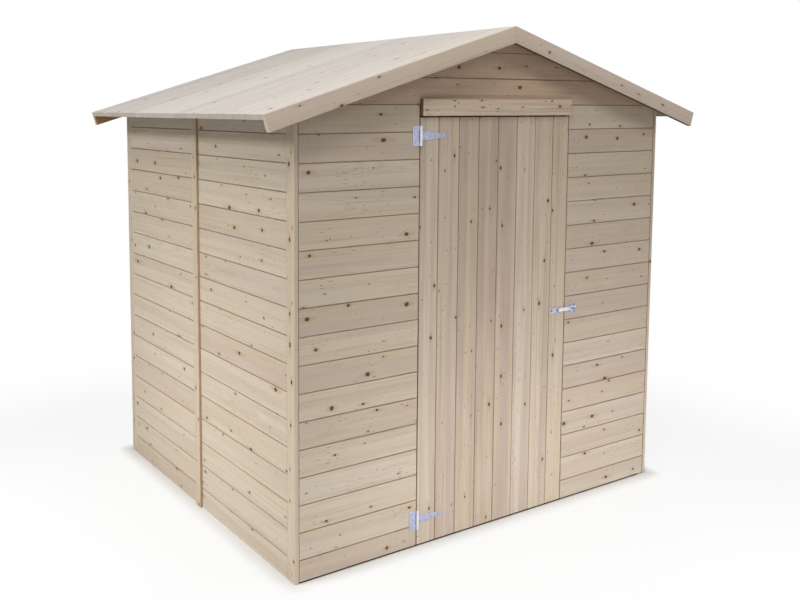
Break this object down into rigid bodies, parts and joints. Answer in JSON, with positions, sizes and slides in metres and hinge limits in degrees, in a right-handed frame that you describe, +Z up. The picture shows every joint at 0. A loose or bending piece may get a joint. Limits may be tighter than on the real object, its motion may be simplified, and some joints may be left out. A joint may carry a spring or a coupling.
{
  "type": "wooden garden shed",
  "caption": "Small wooden garden shed with horizontal board walls, a pitched board roof and one boarded door on tee hinges with a hasp.",
  "frame": {"origin": "on the ground, under the middle of the roof's plan", "axes": "+X along the front from left to right, the front faces -Y, +Z up"},
  "size_m": [2.1, 1.605, 1.902],
  "materials": {
    "wall_boards": "planed bare spruce, tongue and groove, small knots",
    "door_boards": "planed bare spruce, upright tongue and groove",
    "trim_boards": "planed bare spruce",
    "roof_boards": "planed bare spruce, greyed by light",
    "frame_timber": "sawn bare spruce",
    "zinc_hardware": "zinc plated sheet"
  },
  "bodies": {
    "shed": {"front_wall_left": "wall_boards", "front_wall_right": "wall_boards", "front_gable": "wall_boards", "back_wall_left": "wall_boards", "back_wall_right": "wall_boards", "back_gable": "wall_boards", "left_wall_front": "wall_boards", "left_wall_back": "wall_boards", "right_wall_front": "wall_boards", "right_wall_back": "wall_boards", "corner_board_front_left": "trim_boards", "corner_board_front_right": "trim_boards", "corner_board_back_left": "trim_boards", "corner_board_back_right": "trim_boards", "left_wall_batten": "trim_boards", "right_wall_batten": "trim_boards", "back_wall_batten": "trim_boards", "corner_posts": "frame_timber", "side_sills": "frame_timber", "front_sills": "frame_timber", "door_threshold": "frame_timber", "back_sill": "frame_timber", "wall_studs": "frame_timber", "door_posts": "frame_timber", "side_top_rails": "frame_timber", "front_top_rail": "frame_timber", "back_top_rail": "frame_timber", "ridge_beam": "frame_timber", "roof_purlins": "frame_timber", "roof_left": "roof_boards", "roof_right": "roof_boards", "barge_board_front_left": "trim_boards", "barge_board_front_right": "trim_boards", "barge_board_back_left": "trim_boards", "barge_board_back_right": "trim_boards", "door_header": "trim_boards", "upper_hinge_plate": "zinc_hardware", "lower_hinge_plate": "zinc_hardware", "hasp_staple": "zinc_hardware"},
    "door": {"door_leaf": "door_boards", "door_ledges": "frame_timber", "door_brace": "frame_timber", "upper_hinge_strap": "zinc_hardware", "lower_hinge_strap": "zinc_hardware", "hasp_plate": "zinc_hardware"},
    "hasp": {"hasp_strap": "zinc_hardware"}
  },
  "joints": [
    {"name": "door_hinge", "type": "hinge", "parent": "shed", "child": "door", "pos_m": [-0.3815, -0.733, 0.804], "axis": [0, 0, -1], "range_deg": [0, 160]},
    {"name": "hasp_hinge", "type": "hinge", "parent": "door", "child": "hasp", "pos_m": [0.3335, -0.73225, 0.798], "axis": [0, 0, -1], "range_deg": [0, 165]}
  ]
}
